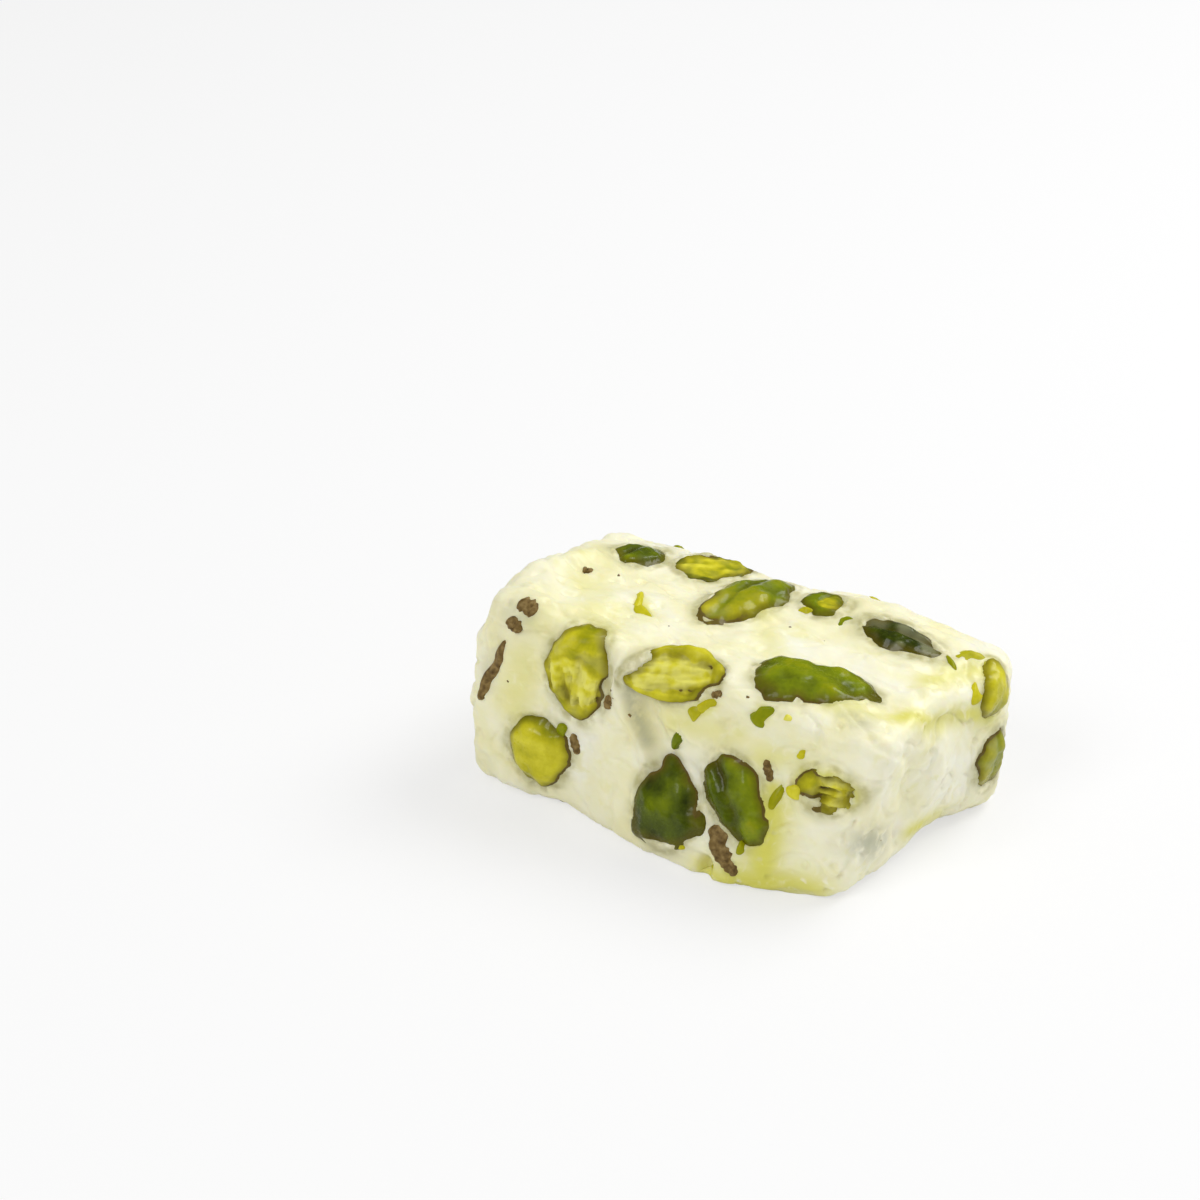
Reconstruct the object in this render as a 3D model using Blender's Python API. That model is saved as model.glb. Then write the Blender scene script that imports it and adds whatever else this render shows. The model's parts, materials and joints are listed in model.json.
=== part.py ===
"""A bar of soft white nougat, cut by knife, with pistachio kernels set in it.

Metres, +Z up. The bar stands on Z = 0, its long side runs along X, and the middle of its
box is over the origin. The sizes below are in millimetres, and MM turns them into metres.
The block is a box with rounded edges whose eight corners are pulled to where the knife and
the squeeze of cutting left them. Each kernel lies in a pocket of its own in the block.
"""

import math
from collections import namedtuple

import bmesh
import bpy
from mathutils import Matrix, Vector

MM = 0.001

# The plain box that the bar was cut to.
LENGTH = 57.0
WIDTH = 34.0
HEIGHT = 24.0
EDGE_RADIUS = 3.6

# How far each corner of that box lies from its plain place: (x end, y side, z level).
LEFT, RIGHT = -1, 1
FRONT, BACK = -1, 1
BASE, TOP = -1, 1
CORNER_SHIFTS = {
    (LEFT, FRONT, BASE): (-2.5, -1.5, 0.0),
    (LEFT, BACK, BASE): (0.0, 0.0, 0.0),
    (RIGHT, FRONT, BASE): (-1.5, -2.0, 0.0),
    (RIGHT, BACK, BASE): (5.5, 0.0, 0.0),
    (LEFT, FRONT, TOP): (-1.5, 0.0, 5.0),
    (LEFT, BACK, TOP): (-1.0, 0.0, 1.5),
    (RIGHT, FRONT, TOP): (3.5, 3.0, 0.5),
    (RIGHT, BACK, TOP): (6.0, 1.5, -1.0),
}

# Soft swellings (+) and hollows (-): place on the box as fractions, height, reach.
SWELLINGS = (
    ((-1.0, -0.2, 0.8), 2.2, 9.0),
    ((-1.0, -0.8, -0.2), 2.2, 8.0),
    ((0.45, 1.0, 1.0), 2.2, 14.0),
    ((0.05, -1.0, -1.0), 3.2, 12.0),
    ((0.50, -1.0, -1.0), 3.2, 9.0),
    ((1.0, 0.2, -1.0), -1.2, 6.0),
    ((1.0, 1.0, -1.0), 0.8, 6.0),
)

# Cells of the block's mesh along, across and up.
CELLS = (18, 11, 8)

# The step, as a fraction of a face, over which the slope of the surface is measured.
SLOPE_STEP = 0.03

# How strongly the mesh is packed towards the rounded edges: 0 is even.
EDGE_PACKING = 0.3

# A kernel's mesh: sides round its long axis, rings along it, and the clearance of its pocket.
KERNEL_SIDES = 12
KERNEL_RINGS = 7
GAP = 0.32

# A kernel's form, as shares of its half sizes. Its half width at the middle, and how much it
# loses towards the pointed end and towards both ends.
FULLNESS = 1.06
POINT_TAPER = 0.20
END_TAPER = 0.16
# The crease along its back, and its half width.
CREASE_DEPTH = 0.10
CREASE_REACH = 0.25
# How far its ends bend to one side, and the share by which its middle bends to the other.
BEND = 0.13
BEND_CENTRE = 0.4

# No knife cut: the kernel is whole.
WHOLE = None

Kernel = namedtuple(
    "Kernel", "name face along across turn length width depth sunk cut color"
)

# Where each kernel lies. A place is two fractions of a face, from -1 to 1, and the turn is in
# the face, in degrees. The sizes are in millimetres. A kernel's middle is sunk below the
# surface, and cut is the height of the knife's cut over the surface.
KERNELS = (
    Kernel("kernel_front_1", "front", -0.46, 0.50, -84, 14.5, 10.4, 9.0, 2.0, 1.3, "lime"),
    Kernel("kernel_front_2", "front", -0.60, -0.36, 20, 12.0, 11.0, 8.0, 1.8, WHOLE, "olive"),
    Kernel("kernel_front_3", "front", 0.10, -0.36, 108, 13.0, 10.6, 7.0, 1.8, WHOLE, "green"),
    Kernel("kernel_front_4", "front", 0.44, -0.10, -56, 16.6, 8.8, 7.6, 1.9, WHOLE, "green"),
    Kernel("kernel_front_5", "front", 0.80, 0.31, 10, 10.0, 6.6, 6.0, 1.6, 0.4, "lime"),
    Kernel("kernel_edge_1", "front", -0.04, 0.95, 197, 14.4, 7.0, 7.0, 0.6, 0.2, "lime"),
    Kernel("kernel_top_1", "top", 0.51, -0.53, 16, 19.0, 8.8, 7.6, 1.6, WHOLE, "green"),
    Kernel("kernel_top_2", "top", -0.12, 0.28, 250, 19.6, 9.2, 7.6, 1.8, WHOLE, "olive"),
    Kernel("kernel_top_3", "top", -0.40, 0.68, 37, 12.4, 8.2, 7.0, 1.5, 0.3, "lime"),
    Kernel("kernel_top_4", "top", -0.70, 0.49, 60, 11.0, 7.4, 6.5, 2.0, WHOLE, "green"),
    Kernel("kernel_top_5", "top", 0.19, 0.60, 20, 8.6, 6.4, 6.0, 1.8, 0.4, "green"),
    Kernel("kernel_top_6", "top", 0.62, 0.46, -6, 17.8, 7.4, 7.0, 2.4, WHOLE, "green"),
    Kernel("kernel_right_1", "right", 0.71, -0.24, -86, 13.0, 8.0, 8.0, 2.8, WHOLE, "olive"),
    Kernel("kernel_right_2", "right", 0.60, 0.74, 60, 8.0, 6.0, 6.0, 1.9, WHOLE, "lime"),
    Kernel("kernel_back_1", "back", -0.46, -0.25, 24, 16.0, 9.0, 7.6, 2.1, WHOLE, "green"),
    Kernel("kernel_back_2", "back", 0.06, -0.48, -20, 15.0, 9.4, 8.0, 2.0, 0.2, "lime"),
    Kernel("kernel_back_3", "back", 0.44, 0.08, 12, 13.0, 8.6, 7.6, 2.2, WHOLE, "olive"),
    Kernel("kernel_back_4", "back", 0.76, -0.42, 76, 11.0, 8.0, 7.6, 2.1, WHOLE, "green"),
    Kernel("kernel_back_5", "back", -0.10, 0.26, -12, 10.0, 7.0, 7.0, 1.8, WHOLE, "green"),
    Kernel("kernel_left_1", "left", 0.30, 0.28, 40, 14.5, 8.8, 7.6, 2.2, WHOLE, "green"),
    Kernel("kernel_left_2", "left", -0.28, -0.34, -20, 12.5, 9.0, 8.0, 2.0, 0.2, "lime"),
    Kernel("kernel_base_1", "base", -0.55, 0.30, 30, 15.0, 9.0, 8.0, 1.2, -0.4, "green"),
    Kernel("kernel_base_2", "base", 0.05, -0.35, -25, 14.0, 8.6, 8.0, 1.4, -0.4, "lime"),
    Kernel("kernel_base_3", "base", 0.58, 0.32, 65, 15.0, 9.0, 8.0, 1.0, -0.4, "green"),
)

CREAM = (0.93, 0.90, 0.62)
NOUGAT_ROUGHNESS = 0.5
KERNEL_ROUGHNESS = 0.4
COLORS = {
    "lime": (0.62, 0.60, 0.09),
    "green": (0.10, 0.20, 0.01),
    "olive": (0.38, 0.33, 0.03),
}


def box_point(a, b, c):
    """The point of the rounded box for a point of the cube from -1 to 1, and its outward way."""
    half = Vector((LENGTH, WIDTH, HEIGHT)) / 2
    flat = Vector((a * half.x, b * half.y, c * half.z))
    inner = Vector(
        max(EDGE_RADIUS - h, min(h - EDGE_RADIUS, value)) for h, value in zip(half, flat)
    )
    outward = (flat - inner).normalized()
    return inner + outward * EDGE_RADIUS, outward


def corner_shift(point):
    """The corners' shifts, blended by how near the point is to each of them."""
    total = Vector((0, 0, 0))
    half = (LENGTH / 2, WIDTH / 2, HEIGHT / 2)
    for corner, shift in CORNER_SHIFTS.items():
        weight = 1.0
        for side, value, h in zip(corner, point, half):
            weight *= (1 + side * value / h) / 2
        total += Vector(shift) * weight
    return total


def bar_point(a, b, c):
    """The bar's surface for a point of the cube, in millimetres above the base."""
    point, outward = box_point(a, b, c)
    pulled = point + corner_shift(point)
    for (sa, sb, sc), height, reach in SWELLINGS:
        centre = Vector((sa * LENGTH / 2, sb * WIDTH / 2, sc * HEIGHT / 2))
        pulled += outward * height * math.exp(-((point - centre).length / reach) ** 2)
    pulled.z = max(0.0, pulled.z + HEIGHT / 2)
    return pulled


def denser_at_edges(t):
    """Spreads a step from -1 to 1 so that the mesh is finer near the rounded edges."""
    return t * (1 + EDGE_PACKING - EDGE_PACKING * t * t)


def new_material(name, color, roughness):
    """A plain Principled material."""
    material = bpy.data.materials.new(name)
    material.use_nodes = True
    shader = material.node_tree.nodes["Principled BSDF"]
    shader.inputs["Base Color"].default_value = (*color, 1.0)
    shader.inputs["Roughness"].default_value = roughness
    return material


def add_object(name, bm, material):
    """Turns a bmesh in millimetres into an object in metres."""
    bmesh.ops.scale(bm, vec=(MM, MM, MM), verts=bm.verts)
    bmesh.ops.recalc_face_normals(bm, faces=bm.faces)
    mesh = bpy.data.meshes.new(name)
    bm.to_mesh(mesh)
    bm.free()
    mesh.materials.append(material)
    thing = bpy.data.objects.new(name, mesh)
    bpy.context.scene.collection.objects.link(thing)
    return thing


def make_block(material):
    """The nougat: a gridded cube whose points are moved onto the bar's surface."""
    bm = bmesh.new()
    corners = {}

    def corner(*steps):
        if steps not in corners:
            abc = (denser_at_edges(2 * n / cells - 1) for n, cells in zip(steps, CELLS))
            corners[steps] = bm.verts.new(bar_point(*abc))
        return corners[steps]

    # Each pair of opposite sides is a grid along two axes, at both ends of the third.
    for across in range(3):
        one, two = (axis for axis in range(3) if axis != across)
        for level in (0, CELLS[across]):
            for i in range(CELLS[one]):
                for j in range(CELLS[two]):
                    ring = []
                    for di, dj in ((0, 0), (1, 0), (1, 1), (0, 1)):
                        steps = [level] * 3
                        steps[one] = i + di
                        steps[two] = j + dj
                        ring.append(corner(*steps))
                    bm.faces.new(ring)
    return add_object("nougat", bm, material)


def face_point(face, along, across):
    """A point of the bar on one of its faces, which are all seen from outside."""
    cube = {
        "top": (along, across, 1),
        "base": (along, -across, -1),
        "front": (along, -1, across),
        "back": (-along, 1, across),
        "right": (1, along, across),
        "left": (-1, -along, across),
    }
    return bar_point(*cube[face])


def kernel_place(kernel):
    """Where a kernel lies: its long side along local X, the way out of the bar along Z."""
    face, along, across = kernel.face, kernel.along, kernel.across
    step = SLOPE_STEP
    way_along = face_point(face, along + step, across) - face_point(face, along - step, across)
    way_across = face_point(face, along, across + step) - face_point(face, along, across - step)
    out = way_along.cross(way_across).normalized()
    way_along.normalize()
    axes = Matrix((way_along, out.cross(way_along), out)).transposed().to_4x4()
    place = Matrix.Translation(face_point(face, along, across))
    spin = Matrix.Rotation(math.radians(kernel.turn), 4, "Z")
    return place @ axes @ spin


def kernel_bmesh(length, width, depth):
    """A pistachio kernel: pointed at one end, a little bent, with a crease along its back."""
    bm = bmesh.new()
    lying = Matrix.Rotation(math.pi / 2, 4, "Y")
    bmesh.ops.create_uvsphere(
        bm, u_segments=KERNEL_SIDES, v_segments=KERNEL_RINGS, radius=1, matrix=lying
    )
    for vert in bm.verts:
        x, y, z = vert.co
        taper = FULLNESS - POINT_TAPER * x - END_TAPER * x * x
        crease = CREASE_DEPTH * math.exp(-((y / CREASE_REACH) ** 2)) if z > 0 else 0.0
        vert.co = (
            x * length / 2,
            (y * taper + BEND * (x * x - BEND_CENTRE)) * width / 2,
            z * (taper - crease) * depth / 2,
        )
    return bm


def make_kernel(kernel, material):
    """A kernel in its place, with the flat that the knife left on it."""
    bm = kernel_bmesh(kernel.length, kernel.width, kernel.depth)
    bmesh.ops.translate(bm, vec=(0, 0, -kernel.sunk), verts=bm.verts)
    if kernel.cut is not WHOLE:
        parts = bm.verts[:] + bm.edges[:] + bm.faces[:]
        bmesh.ops.bisect_plane(
            bm, geom=parts, plane_co=(0, 0, kernel.cut), plane_no=(0, 0, 1), clear_outer=True
        )
        bmesh.ops.holes_fill(bm, edges=[edge for edge in bm.edges if edge.is_boundary])
        bmesh.ops.triangulate(bm, faces=[face for face in bm.faces if len(face.verts) > 4])
    bmesh.ops.transform(bm, matrix=kernel_place(kernel), verts=bm.verts)
    return add_object(kernel.name, bm, material)


def cut_pocket(block, kernel, material):
    """Cuts the block with the whole kernel, made larger by the gap all round."""
    bm = kernel_bmesh(kernel.length + 2 * GAP, kernel.width + 2 * GAP, kernel.depth + 2 * GAP)
    bmesh.ops.translate(bm, vec=(0, 0, -kernel.sunk), verts=bm.verts)
    bmesh.ops.transform(bm, matrix=kernel_place(kernel), verts=bm.verts)
    cutter = add_object("pocket_of_" + kernel.name, bm, material)
    cutter.hide_render = True
    cutter.display_type = "WIRE"
    cut = block.modifiers.new(cutter.name, "BOOLEAN")
    cut.operation = "DIFFERENCE"
    cut.solver = "EXACT"
    cut.object = cutter
    return cutter


def centre_over_origin(things, cutters):
    """Moves everything by one empty so that the middle of the bar's box is over the origin."""
    bpy.context.view_layer.update()
    depsgraph = bpy.context.evaluated_depsgraph_get()
    points = []
    for thing in things:
        made = thing.evaluated_get(depsgraph)
        points += [made.matrix_world @ Vector(corner) for corner in made.bound_box]
    lowest = Vector(min(point[axis] for point in points) for axis in range(3))
    highest = Vector(max(point[axis] for point in points) for axis in range(3))
    middle = (lowest + highest) / 2
    bar = bpy.data.objects.new("bar", None)
    bpy.context.scene.collection.objects.link(bar)
    for thing in things + cutters:
        thing.parent = bar
    bar.location = (-middle.x, -middle.y, -lowest.z)


def main():
    for thing in list(bpy.data.objects):
        bpy.data.objects.remove(thing)
    cream = new_material("nougat", CREAM, NOUGAT_ROUGHNESS)
    nut = {
        name: new_material("kernel_" + name, color, KERNEL_ROUGHNESS)
        for name, color in COLORS.items()
    }
    block = make_block(cream)
    kernels = [make_kernel(kernel, nut[kernel.color]) for kernel in KERNELS]
    cutters = [cut_pocket(block, kernel, cream) for kernel in KERNELS]
    centre_over_origin([block] + kernels, cutters)


main()
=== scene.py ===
"""The looks of a bar of soft pistachio nougat: creamy knife-cut mass, glossy kernels, crumbs."""

import json
import math
import random

import bmesh
import bpy
import numpy as np
from mathutils import Matrix, Vector, noise
from mathutils.bvhtree import BVHTree

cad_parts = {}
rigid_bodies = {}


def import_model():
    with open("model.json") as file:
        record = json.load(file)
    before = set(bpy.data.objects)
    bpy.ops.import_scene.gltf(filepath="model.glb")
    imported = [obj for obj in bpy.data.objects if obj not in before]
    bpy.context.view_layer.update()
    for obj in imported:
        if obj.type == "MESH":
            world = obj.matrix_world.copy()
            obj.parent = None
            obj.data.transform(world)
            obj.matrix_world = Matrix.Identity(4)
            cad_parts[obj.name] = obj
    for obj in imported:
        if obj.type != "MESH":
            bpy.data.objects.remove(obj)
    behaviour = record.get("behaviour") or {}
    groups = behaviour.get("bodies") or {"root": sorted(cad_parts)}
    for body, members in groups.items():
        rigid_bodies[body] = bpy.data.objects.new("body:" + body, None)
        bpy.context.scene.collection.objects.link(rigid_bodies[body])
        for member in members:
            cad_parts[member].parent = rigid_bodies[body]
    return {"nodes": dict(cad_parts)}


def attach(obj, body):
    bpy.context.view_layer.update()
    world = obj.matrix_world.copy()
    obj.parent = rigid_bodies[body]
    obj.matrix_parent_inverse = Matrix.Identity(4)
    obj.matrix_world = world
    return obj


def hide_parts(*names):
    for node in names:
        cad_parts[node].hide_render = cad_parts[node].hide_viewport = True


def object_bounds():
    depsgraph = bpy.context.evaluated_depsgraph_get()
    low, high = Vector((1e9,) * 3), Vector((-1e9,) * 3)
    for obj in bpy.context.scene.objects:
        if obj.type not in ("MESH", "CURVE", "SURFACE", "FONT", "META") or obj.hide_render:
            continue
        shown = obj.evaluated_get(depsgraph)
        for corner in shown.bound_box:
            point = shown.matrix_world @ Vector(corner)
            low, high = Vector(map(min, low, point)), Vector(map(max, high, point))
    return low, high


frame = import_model()
CAD_LOW, CAD_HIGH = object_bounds()

MM = 0.001
SEED = 7

# The camera, from the middle of the bar: degrees and metres.
CAMERA_AZIMUTH = 33.1
CAMERA_RISE = 30.0
CAMERA_DISTANCE = 0.4569
CAMERA_LENS = 100.0
AIM_RIGHT = -18.4 * MM
AIM_UP = 13.7 * MM

# Even light from all round, and how much of it shows as shine.
FILL_LIGHT = 0.46
FILL_SHINE = 0.12

# The nougat's mesh and the kernels' meshes.
NOUGAT_VOXEL = 0.37 * MM
KERNEL_VOXEL = 0.24 * MM
KERNEL_SWELL = 0.30 * MM
POCKET_FILL = 0.36 * MM

# Nothing reaches lower than this, and the floor lies just under it.
LOWEST = -0.03 * MM
FLOOR_GAP = 0.02 * MM

UP = Vector((0, 0, 1))
OUTWARD = {
    "top": Vector((0, 0, 1)),
    "base": Vector((0, 0, -1)),
    "front": Vector((0, -1, 0)),
    "back": Vector((0, 1, 0)),
    "right": Vector((1, 0, 0)),
    "left": Vector((-1, 0, 0)),
    "edge": Vector((0, -0.74, 0.67)),
}


# ---------------------------------------------------------------- small helpers


def srgb(r, g, b):
    """A colour as it is seen, 0 to 255, in the shader's own linear numbers."""
    return tuple(((v / 255 + 0.055) / 1.055) ** 2.4 if v > 10 else v / 3294.6 for v in (r, g, b))


def only(piece):
    """Makes this piece the one that is selected and active."""
    bpy.ops.object.select_all(action="DESELECT")
    piece.select_set(True)
    bpy.context.view_layer.objects.active = piece


def apply_modifier(piece, kind, **settings):
    """Adds a modifier with these settings and applies it."""
    only(piece)
    modifier = piece.modifiers.new(kind.lower(), kind)
    for name, value in settings.items():
        setattr(modifier, name, value)
    bpy.ops.object.modifier_apply(modifier=modifier.name)


def join_as(name, things):
    only(things[0])
    for thing in things:
        thing.select_set(True)
    bpy.ops.object.join()
    things[0].name = name
    return things[0]


def copy_of_node(node, name):
    """A copy of a CAD node with its own mesh, welded into one closed skin."""
    piece = bpy.data.objects[node].copy()
    piece.data = piece.data.copy()
    piece.name = name
    bpy.context.scene.collection.objects.link(piece)
    only(piece)
    bpy.ops.object.mode_set(mode="EDIT")
    bpy.ops.mesh.select_all(action="SELECT")
    bpy.ops.mesh.remove_doubles(threshold=0.002 * MM)
    bpy.ops.object.mode_set(mode="OBJECT")
    return piece


def points_of(mesh):
    """A mesh's points and their outward ways, as two arrays."""
    points = np.empty(len(mesh.vertices) * 3, np.float32)
    ways = np.empty(len(mesh.vertices) * 3, np.float32)
    mesh.vertices.foreach_get("co", points)
    mesh.vertex_normals.foreach_get("vector", ways)
    return points.reshape(-1, 3).astype(float), ways.reshape(-1, 3).astype(float)


def set_points(mesh, points):
    mesh.vertices.foreach_set("co", points.astype(np.float32).ravel())
    mesh.update()


def add_mask(mesh, name, values):
    """Stores one number for each point, which the materials read."""
    mask = mesh.attributes.new(name, "FLOAT", "POINT")
    mask.data.foreach_set("value", np.clip(values, 0, 1).astype(np.float32))


def smoothstep(low, high, values):
    t = np.clip((values - low) / (high - low), 0, 1)
    return t * t * (3 - 2 * t)


def ripple(points, size, offset=0.0):
    """Smooth noise from about -1 to 1, with bumps of this size in metres."""
    shift = Vector((offset, offset * 1.7, -offset))
    return np.array([noise.noise(Vector(p) / size + shift) for p in points])


def dress(piece, material):
    """Gives a finished piece its slot and its only material, shaded smooth, clear of the floor."""
    points, _ = points_of(piece.data)
    points[:, 2] = np.maximum(points[:, 2], LOWEST)
    set_points(piece.data, points)
    piece.data.materials.clear()
    piece.data.materials.append(material)
    piece.data.shade_smooth()
    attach(piece, "root")
    return piece


# ---------------------------------------------------------------- shader parts


class Nodes:
    """Shorthand for adding and joining nodes in one tree."""

    def __init__(self, tree):
        self.tree = tree

    def add(self, kind, **settings):
        node = self.tree.nodes.new("ShaderNode" + kind)
        for name, value in settings.items():
            setattr(node, name, value)
        return node

    def join(self, source, target):
        self.tree.links.new(source, target)

    def put(self, value, target):
        """Joins an output to an input, or sets the input to a plain value."""
        if isinstance(value, bpy.types.NodeSocket):
            self.join(value, target)
        else:
            target.default_value = value

    def mask(self, name):
        return self.add("Attribute", attribute_name=name).outputs["Fac"]

    def math(self, operation, one, two=0.0, clamp=False):
        node = self.add("Math", operation=operation, use_clamp=clamp)
        self.put(one, node.inputs[0])
        self.put(two, node.inputs[1])
        return node.outputs[0]

    def mix(self, factor, one, two, blend="MIX"):
        node = self.add("Mix", data_type="RGBA", blend_type=blend)
        self.put(factor, node.inputs["Factor"])
        self.put(one, node.inputs["A"])
        self.put(two, node.inputs["B"])
        return node.outputs["Result"]

    def band(self, value, low, high):
        """Rises smoothly from 0 at low to 1 at high."""
        node = self.add("MapRange", interpolation_type="SMOOTHSTEP")
        self.put(value, node.inputs["Value"])
        node.inputs["From Min"].default_value = low
        node.inputs["From Max"].default_value = high
        return node.outputs["Result"]

    def grain(self, size, detail=3.0, stretch=(1, 1, 1), turn=(0, 0, 0), distortion=0.0):
        """Noise on the piece's own coordinates, with grains of this size in metres."""
        place = self.add("TexCoord").outputs["Object"]
        mapping = self.add("Mapping")
        mapping.inputs["Scale"].default_value = stretch
        mapping.inputs["Rotation"].default_value = turn
        self.join(place, mapping.inputs["Vector"])
        node = self.add("TexNoise")
        node.inputs["Scale"].default_value = 1 / size
        node.inputs["Detail"].default_value = detail
        node.inputs["Distortion"].default_value = distortion
        self.join(mapping.outputs["Vector"], node.inputs["Vector"])
        return node.outputs["Fac"]

    def ramp(self, value, stops):
        node = self.add("ValToRGB")
        self.join(value, node.inputs["Fac"])
        elements = node.color_ramp.elements
        while len(elements) < len(stops):
            elements.new(0.5)
        for element, (place, color) in zip(elements, stops):
            element.position = place
            element.color = (*color, 1.0)
        return node.outputs["Color"]


def new_material(name):
    """A material with its Principled shader and the shorthand for its tree."""
    material = bpy.data.materials.new(name)
    material.use_nodes = True
    tree = material.node_tree
    return material, Nodes(tree), tree.nodes["Principled BSDF"]


def group_tree(name, inputs, outputs):
    """An empty shader group with these sockets, given as name and type."""
    tree = bpy.data.node_groups.new(name, "ShaderNodeTree")
    for label, kind in inputs:
        tree.interface.new_socket(label, in_out="INPUT", socket_type=kind)
    for label, kind in outputs:
        tree.interface.new_socket(label, in_out="OUTPUT", socket_type=kind)
    nodes = Nodes(tree)
    return tree, nodes, nodes.add_end("Input"), nodes.add_end("Output")


def add_end(self, side):
    return self.tree.nodes.new("NodeGroup" + side)


Nodes.add_end = add_end


def pistachio_group():
    """Colour of a kernel: from deep green to pale lime, with papery skin, sugar film, and painted shade where it dips
    under the mass.
    """
    tree, n, start, end = group_tree(
        "pistachio colour",
        [("Ripeness", "NodeSocketFloat"), ("Mottle", "NodeSocketFloat")],
        [("Color", "NodeSocketColor"), ("Roughness", "NodeSocketFloat"), ("Height", "NodeSocketFloat")],
    )
    mottle = n.math("SUBTRACT", n.grain(1.6 * MM, 4.0, distortion=0.4), 0.5)
    fine = n.math("SUBTRACT", n.grain(0.45 * MM, 3.0), 0.5)
    ripe = n.math("ADD", n.mask("ripe"), start.outputs["Ripeness"])
    ripe = n.math("ADD", ripe, n.math("MULTIPLY", mottle, start.outputs["Mottle"]))
    ripe = n.math("ADD", ripe, n.math("MULTIPLY", fine, 0.10), clamp=True)
    flesh = n.ramp(
        ripe,
        [
            (0.0, srgb(44, 54, 0)),
            (0.18, srgb(84, 98, 0)),
            (0.36, srgb(124, 138, 0)),
            (0.54, srgb(164, 162, 8)),
            (0.70, srgb(202, 194, 30)),
            (0.86, srgb(228, 220, 58)),
            (1.0, srgb(240, 234, 112)),
        ],
    )
    skin_tone = n.mix(n.grain(0.9 * MM, 3.0), (*srgb(84, 62, 26), 1), (*srgb(136, 112, 66), 1))
    edge = n.mask("rim")
    rim = n.band(edge, 0.55, 0.92)
    skin_edge = n.math("MULTIPLY", n.mask("skin"), n.math("ADD", rim, n.math("MULTIPLY", mottle, 0.9)))
    skinned = n.mix(n.band(skin_edge, 0.42, 0.66), flesh, skin_tone)
    filmed = n.mix(n.math("MULTIPLY", n.mask("film"), 0.75), skinned, (*srgb(186, 186, 146), 1))
    # Painted shade: the kernel is darkened towards dark olive where it dips under the nougat.
    shaded = n.mix(n.math("MULTIPLY", n.band(edge, 0.10, 1.0), 0.70), filmed, (*srgb(96, 84, 14), 1))
    n.join(shaded, end.inputs["Color"])
    rough = n.math("ADD", n.math("MULTIPLY", n.mask("cut"), 0.28), n.math("MULTIPLY", fine, 0.2))
    rough = n.math("ADD", rough, n.math("MULTIPLY", n.mask("skin"), 0.25))
    n.join(rough, end.inputs["Roughness"])
    n.join(n.math("ADD", mottle, n.math("MULTIPLY", fine, 0.5)), end.inputs["Height"])
    return tree


def pistachio_material(name, group, ripeness, mottle, roughness, coat):
    """One finish of kernel, which reads the masks on its points."""
    material, n, shader = new_material(name)
    color = n.add("Group", node_tree=group)
    color.inputs["Ripeness"].default_value = ripeness
    color.inputs["Mottle"].default_value = mottle
    n.join(color.outputs["Color"], shader.inputs["Base Color"])
    n.join(n.math("ADD", color.outputs["Roughness"], roughness), shader.inputs["Roughness"])
    shader.inputs["Specular IOR Level"].default_value = 0.14
    bump = n.add("Bump")
    bump.inputs["Strength"].default_value = 0.5
    bump.inputs["Distance"].default_value = 0.12 * MM
    n.join(color.outputs["Height"], bump.inputs["Height"])
    n.join(bump.outputs["Normal"], shader.inputs["Normal"])
    shader.inputs["Coat Weight"].default_value = coat
    shader.inputs["Coat Roughness"].default_value = 0.13
    shader.inputs["Subsurface Weight"].default_value = 0.06
    shader.inputs["Subsurface Radius"].default_value = (0.8, 1.0, 0.25)
    shader.inputs["Subsurface Scale"].default_value = 1.2 * MM
    return material


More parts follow.
